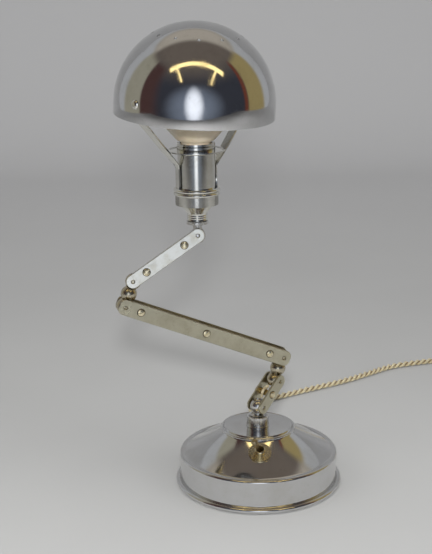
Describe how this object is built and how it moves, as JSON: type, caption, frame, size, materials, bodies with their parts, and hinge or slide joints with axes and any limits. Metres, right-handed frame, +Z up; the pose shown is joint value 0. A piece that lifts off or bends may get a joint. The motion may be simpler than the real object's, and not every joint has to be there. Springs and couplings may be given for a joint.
{
  "type": "jointed desk lamp",
  "caption": "Desk lamp with a round weighted base, a zigzag of flat plate arms on ball links, a bayonet lampholder and a tilting dome shade on a fork.",
  "frame": {"origin": "on the table under the middle of the round base", "axes": "+Z up, -Y towards the side with the switch, +X to the right seen from there"},
  "size_m": [0.3874, 0.3278, 0.3486],
  "materials": {
    "nickel_shell": "nickel plate with soft wear, light scratches and dulled beads",
    "cast_iron": "rough cast, unpainted",
    "zinc_sheet": "plain sheet",
    "felt": "dark green pressed felt",
    "nickel_turned": "turned and nickel plated, worn at the edges",
    "brass_raw": "raw brass, dull",
    "switch_gold": "polished, slightly tarnished",
    "phenolic": "dark moulded insulation",
    "nickel_plate_dull": "dull olive nickel, spotted",
    "nickel_plate_bright": "bright nickel",
    "screw_gold": "pale gold, slotted",
    "braid_gold": "woven wire sleeve",
    "ball_nickel": "nickel ball, small pits",
    "holder_metal": "nickel over brass, worn on the ring",
    "fork_metal": "nickelled strip",
    "bulb_cap_metal": "plain",
    "frosted_glass": "frosted, warm beige",
    "shade_chrome": "mirror chrome, faint spin marks",
    "cord_fabric": "twisted two-core flex, cream and gold weave",
    "plug_plastic": "dark moulded",
    "sleeve_rubber": "black rubber"
  },
  "bodies": {
    "base": {"base_shell": "nickel_shell", "base_ballast": "cast_iron", "base_plate": "zinc_sheet", "base_felt": "felt", "collar": "nickel_turned", "collar_nut": "brass_raw", "switch_ring": "switch_gold", "switch_bush": "switch_gold", "switch_body": "phenolic", "cord_sleeve": "sleeve_rubber", "cord": "cord_fabric", "cord_coil": "cord_fabric", "plug_body": "plug_plastic", "plug_pins": "brass_raw"},
    "switch_lever": {"switch_dolly": "switch_gold"},
    "base_stud": {"low_stud": "nickel_turned", "low_stud_nut": "brass_raw"},
    "low_arm": {"low_arm_plate_front": "nickel_plate_dull", "low_arm_plate_rear": "nickel_plate_dull", "low_arm_spacers": "brass_raw", "low_arm_screws": "screw_gold", "low_arm_nuts": "brass_raw", "low_arm_wires": "braid_gold"},
    "low_link": {"low_link_lower_ball": "ball_nickel", "low_link_middle_ball": "ball_nickel", "low_link_nipple": "brass_raw", "low_link_ring_nut": "brass_raw"},
    "low_link_ball": {"low_link_upper_ball": "ball_nickel"},
    "mid_arm": {"mid_arm_plate_front": "nickel_plate_dull", "mid_arm_plate_rear": "nickel_plate_dull", "mid_arm_spacers": "brass_raw", "mid_arm_screws": "screw_gold", "mid_arm_nuts": "brass_raw", "mid_arm_wires": "braid_gold"},
    "high_link": {"high_link_lower_ball": "ball_nickel", "high_link_middle_ball": "ball_nickel", "high_link_nipple": "brass_raw", "high_link_ring_nut": "brass_raw"},
    "high_link_ball": {"high_link_upper_ball": "ball_nickel"},
    "high_arm": {"high_arm_plate_front": "nickel_plate_bright", "high_arm_plate_rear": "nickel_plate_bright", "high_arm_spacers": "brass_raw", "high_arm_screws": "screw_gold", "high_arm_nuts": "brass_raw", "high_arm_wires": "braid_gold"},
    "head": {"head_stud": "nickel_turned", "head_stud_nut": "brass_raw"},
    "lampholder": {"holder_cap": "holder_metal", "holder_barrel": "holder_metal", "holder_core": "phenolic", "holder_plungers": "brass_raw", "holder_skirt": "holder_metal", "shade_ring": "holder_metal", "shade_fork": "fork_metal", "bulb_cap": "bulb_cap_metal", "bulb_glass": "frosted_glass"},
    "shade": {"shade": "shade_chrome", "shade_rivets": "fork_metal"}
  },
  "joints": [
    {"name": "switch_toggle", "type": "hinge", "parent": "base", "child": "switch_lever", "pos_m": [0, -0.03697, 0.03779], "axis": [0, 0.858, 0.5136], "range_deg": [0, 35.6]},
    {"name": "base_swivel", "type": "hinge", "parent": "base", "child": "base_stud", "pos_m": [0, 0, 0.0601], "axis": [0, 0, 1], "range_deg": [-160, 160]},
    {"name": "low_arm_hinge", "type": "hinge", "parent": "base_stud", "child": "low_arm", "pos_m": [0, 0, 0.0601], "axis": [0.6639, -0.7478, 0], "range_deg": [-50, 85]},
    {"name": "low_link_hinge", "type": "hinge", "parent": "low_arm", "child": "low_link", "pos_m": [0.01306, 0.0116, 0.07685], "axis": [-0.6639, 0.7478, 0], "range_deg": [-60, 100]},
    {"name": "low_ball_swivel", "type": "hinge", "parent": "low_link", "child": "low_link_ball", "pos_m": [0.01892, 0.01483, 0.09485], "axis": [0.3052, 0.1685, 0.9373], "range_deg": [-150, 150]},
    {"name": "mid_arm_hinge", "type": "hinge", "parent": "low_link_ball", "child": "mid_arm", "pos_m": [0.01892, 0.01483, 0.09485], "axis": [0.2333, -0.9717, 0.0384], "range_deg": [-118, 17]},
    {"name": "high_link_hinge", "type": "hinge", "parent": "mid_arm", "child": "high_link", "pos_m": [-0.09823, -0.01132, 0.14477], "axis": [0.2333, -0.9717, 0.0384], "range_deg": [-15, 138]},
    {"name": "high_ball_swivel", "type": "hinge", "parent": "high_link", "child": "high_link_ball", "pos_m": [-0.09123, -0.00815, 0.16236], "axis": [0.3646, 0.1654, 0.9164], "range_deg": [-150, 150]},
    {"name": "high_arm_hinge", "type": "hinge", "parent": "high_link_ball", "child": "high_arm", "pos_m": [-0.09123, -0.00815, 0.16236], "axis": [0.041, -0.9791, 0.1994], "range_deg": [-55, 140]},
    {"name": "head_hinge", "type": "hinge", "parent": "high_arm", "child": "head", "pos_m": [-0.04351, 0.00034, 0.19423], "axis": [-0.041, 0.9791, -0.1994], "range_deg": [-48, 110]},
    {"name": "holder_swivel", "type": "hinge", "parent": "head", "child": "lampholder", "pos_m": [-0.04351, 0.00034, 0.19423], "axis": [0, 0, 1], "range_deg": [-170, 170]},
    {"name": "shade_tilt", "type": "hinge", "parent": "lampholder", "child": "shade", "pos_m": [-0.04351, 0.00034, 0.29523], "axis": [0.6947, 0.7193, 0], "range_deg": [-49.9, 40.1]}
  ]
}
